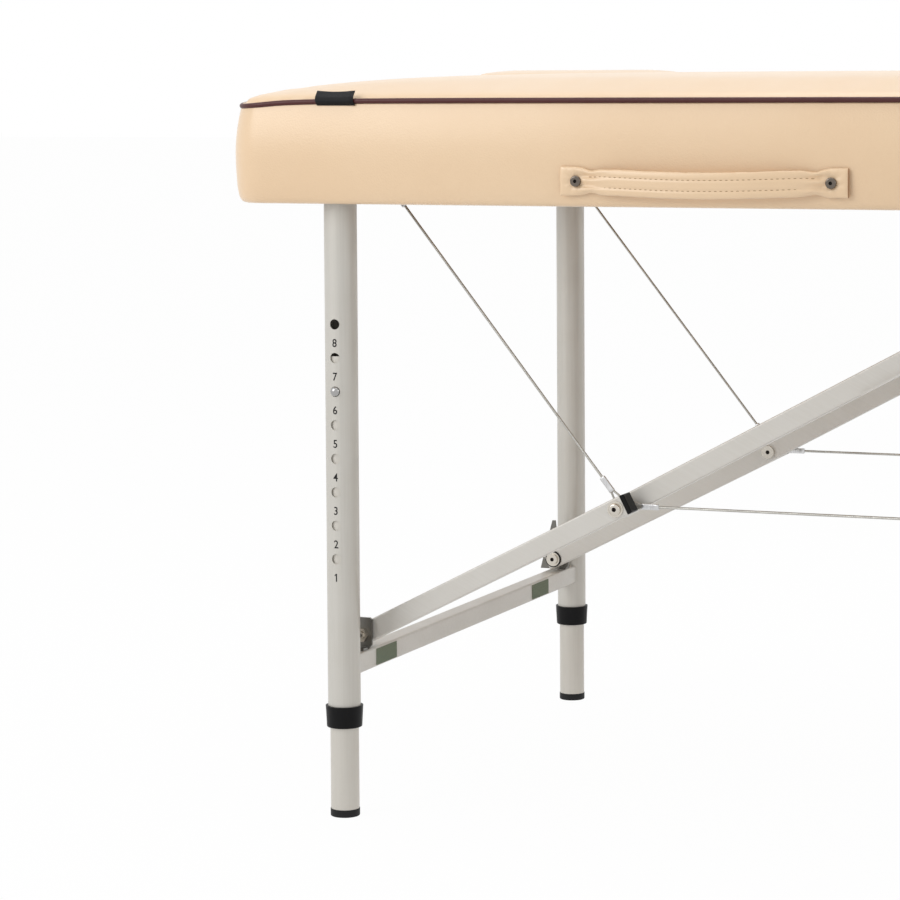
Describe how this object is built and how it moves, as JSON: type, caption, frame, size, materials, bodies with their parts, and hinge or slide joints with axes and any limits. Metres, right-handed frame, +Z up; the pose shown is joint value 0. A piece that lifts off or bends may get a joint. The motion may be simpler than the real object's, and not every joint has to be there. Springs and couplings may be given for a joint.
{
  "type": "portable massage table",
  "caption": "Folding massage table with a padded leather top on telescoping aluminium legs, folding braces and steel cables, with a face-hole plug and side handles.",
  "frame": {"origin": "on the floor, under the middle of the table", "axes": "+X along the table, with the face-hole half at -X; +Y across it, away from the side with the carrying handles; +Z up"},
  "size_m": [1.9542, 0.7298, 0.728],
  "materials": {
    "cover_leather": "satin",
    "piping_leather": "satin",
    "foam": "matte",
    "plywood": "matte",
    "ribbon": "matte",
    "dark_steel": "satin",
    "bolt_steel": "satin",
    "cable_steel": "satin",
    "leg_aluminium": "satin",
    "hook_pad": "matte",
    "black_plastic": "matte",
    "foot_rubber": "matte",
    "button_chrome": "polished"
  },
  "bodies": {
    "root": {"left_frame_rails": "plywood", "left_deck_board": "plywood", "left_foam_pad": "foam", "left_cover": "cover_leather", "left_piping": "piping_leather", "side_tag": "ribbon", "left_handle": "cover_leather", "left_handle_screws": "dark_steel", "left_deck_brackets": "dark_steel", "left_pivot_bolts": "bolt_steel", "left_hinge_leaves": "bolt_steel", "left_brace_cables": "cable_steel"},
    "hinge_pins": {"centre_hinge_pins": "bolt_steel", "centre_cables": "cable_steel"},
    "right_deck": {"right_frame_rails": "plywood", "right_deck_board": "plywood", "right_foam_pad": "foam", "right_cover": "cover_leather", "right_piping": "piping_leather", "right_handle": "cover_leather", "right_handle_screws": "dark_steel", "right_deck_brackets": "dark_steel", "right_pivot_bolts": "bolt_steel", "right_hinge_leaves": "bolt_steel", "right_brace_cables": "cable_steel"},
    "face_plug": {"face_hole_plug": "cover_leather"},
    "left_leg_frame": {"left_outer_legs": "leg_aluminium", "left_crossbar": "leg_aluminium", "left_gussets": "dark_steel", "left_hook_pads": "hook_pad", "left_leg_collars": "black_plastic", "left_lower_bolts": "bolt_steel"},
    "left_lower_links": {"left_lower_links": "leg_aluminium", "left_link_plastics": "black_plastic", "left_knee_bolts": "bolt_steel"},
    "left_upper_links": {"left_upper_links": "leg_aluminium", "left_knee_sleeves": "bolt_steel"},
    "front_left_leg": {"front_left_inner_leg": "leg_aluminium", "front_left_foot_cap": "foot_rubber"},
    "front_left_button": {"front_left_snap_button": "button_chrome"},
    "rear_left_leg": {"rear_left_inner_leg": "leg_aluminium", "rear_left_foot_cap": "foot_rubber"},
    "rear_left_button": {"rear_left_snap_button": "button_chrome"},
    "right_leg_frame": {"right_outer_legs": "leg_aluminium", "right_crossbar": "leg_aluminium", "right_gussets": "dark_steel", "right_hook_pads": "hook_pad", "right_leg_collars": "black_plastic", "right_lower_bolts": "bolt_steel"},
    "right_lower_links": {"right_lower_links": "leg_aluminium", "right_link_plastics": "black_plastic", "right_knee_bolts": "bolt_steel"},
    "right_upper_links": {"right_upper_links": "leg_aluminium", "right_knee_sleeves": "bolt_steel"},
    "front_right_leg": {"front_right_inner_leg": "leg_aluminium", "front_right_foot_cap": "foot_rubber"},
    "front_right_button": {"front_right_snap_button": "button_chrome"},
    "rear_right_leg": {"rear_right_inner_leg": "leg_aluminium", "rear_right_foot_cap": "foot_rubber"},
    "rear_right_button": {"rear_right_snap_button": "button_chrome"}
  },
  "joints": [
    {"name": "centre_fold", "type": "hinge", "parent": "root", "child": "hinge_pins", "pos_m": [0, 0, 0.59], "axis": [0, 1, 0], "range_deg": [0, 90], "deforming": ["centre_cables"]},
    {"name": "closing_fold", "type": "hinge", "parent": "hinge_pins", "child": "right_deck", "pos_m": [0, 0, 0.59], "axis": [0, 1, 0], "range_deg": [0, 90]},
    {"name": "left_legs_fold", "type": "hinge", "parent": "root", "child": "left_leg_frame", "pos_m": [-0.84792, 0, 0.63558], "axis": [0, -1, 0], "range_deg": [0, 90]},
    {"name": "left_lower_brace_fold", "type": "hinge", "parent": "left_leg_frame", "child": "left_lower_links", "pos_m": [-0.868, 0, 0.172], "axis": [0, -1, 0], "range_deg": [0, 54.77], "deforming": ["left_brace_cables"]},
    {"name": "left_upper_brace_fold", "type": "hinge", "parent": "root", "child": "left_upper_links", "pos_m": [-0.032, 0, 0.614], "axis": [0, 1, 0], "range_deg": [0, 31.97]},
    {"name": "right_legs_fold", "type": "hinge", "parent": "right_deck", "child": "right_leg_frame", "pos_m": [0.84792, 0, 0.63558], "axis": [0, 1, 0], "range_deg": [0, 90]},
    {"name": "right_lower_brace_fold", "type": "hinge", "parent": "right_leg_frame", "child": "right_lower_links", "pos_m": [0.868, 0, 0.172], "axis": [0, 1, 0], "range_deg": [0, 54.77], "deforming": ["right_brace_cables"]},
    {"name": "right_upper_brace_fold", "type": "hinge", "parent": "right_deck", "child": "right_upper_links", "pos_m": [0.032, 0, 0.614], "axis": [0, -1, 0], "range_deg": [0, 31.97]},
    {"name": "front_left_leg_slide", "type": "slide", "parent": "left_leg_frame", "child": "front_left_leg", "axis": [0, 0, 1], "range_m": [-0.1633, 0.06532], "deforming": ["front_left_snap_button"]},
    {"name": "front_left_button_press", "type": "slide", "parent": "front_left_leg", "child": "front_left_button", "axis": [0, 1, 0], "range_m": [0, 0.004], "stiffness_N_per_m": 1500},
    {"name": "rear_left_leg_slide", "type": "slide", "parent": "left_leg_frame", "child": "rear_left_leg", "axis": [0, 0, 1], "range_m": [-0.1633, 0.06532], "deforming": ["rear_left_snap_button"]},
    {"name": "rear_left_button_press", "type": "slide", "parent": "rear_left_leg", "child": "rear_left_button", "axis": [0, -1, 0], "range_m": [0, 0.004], "stiffness_N_per_m": 1500},
    {"name": "front_right_leg_slide", "type": "slide", "parent": "right_leg_frame", "child": "front_right_leg", "axis": [0, 0, 1], "range_m": [-0.1633, 0.06532], "deforming": ["front_right_snap_button"]},
    {"name": "front_right_button_press", "type": "slide", "parent": "front_right_leg", "child": "front_right_button", "axis": [0, 1, 0], "range_m": [0, 0.004], "stiffness_N_per_m": 1500},
    {"name": "rear_right_leg_slide", "type": "slide", "parent": "right_leg_frame", "child": "rear_right_leg", "axis": [0, 0, 1], "range_m": [-0.1633, 0.06532], "deforming": ["rear_right_snap_button"]},
    {"name": "rear_right_button_press", "type": "slide", "parent": "rear_right_leg", "child": "rear_right_button", "axis": [0, -1, 0], "range_m": [0, 0.004], "stiffness_N_per_m": 1500},
    {"name": "face_plug_lift", "type": "slide", "parent": "root", "child": "face_plug", "axis": [0, 0, 1], "range_m": [0, 0.12]}
  ],
  "couplings": [
    {"joint": "left_legs_fold", "follows": "centre_fold", "ratio": 1},
    {"joint": "left_lower_brace_fold", "follows": "centre_fold", "ratio": 0.60853},
    {"joint": "left_upper_brace_fold", "follows": "centre_fold", "ratio": 0.35521},
    {"joint": "right_legs_fold", "follows": "centre_fold", "ratio": 1},
    {"joint": "right_lower_brace_fold", "follows": "centre_fold", "ratio": 0.60853},
    {"joint": "right_upper_brace_fold", "follows": "centre_fold", "ratio": 0.35521}
  ]
}
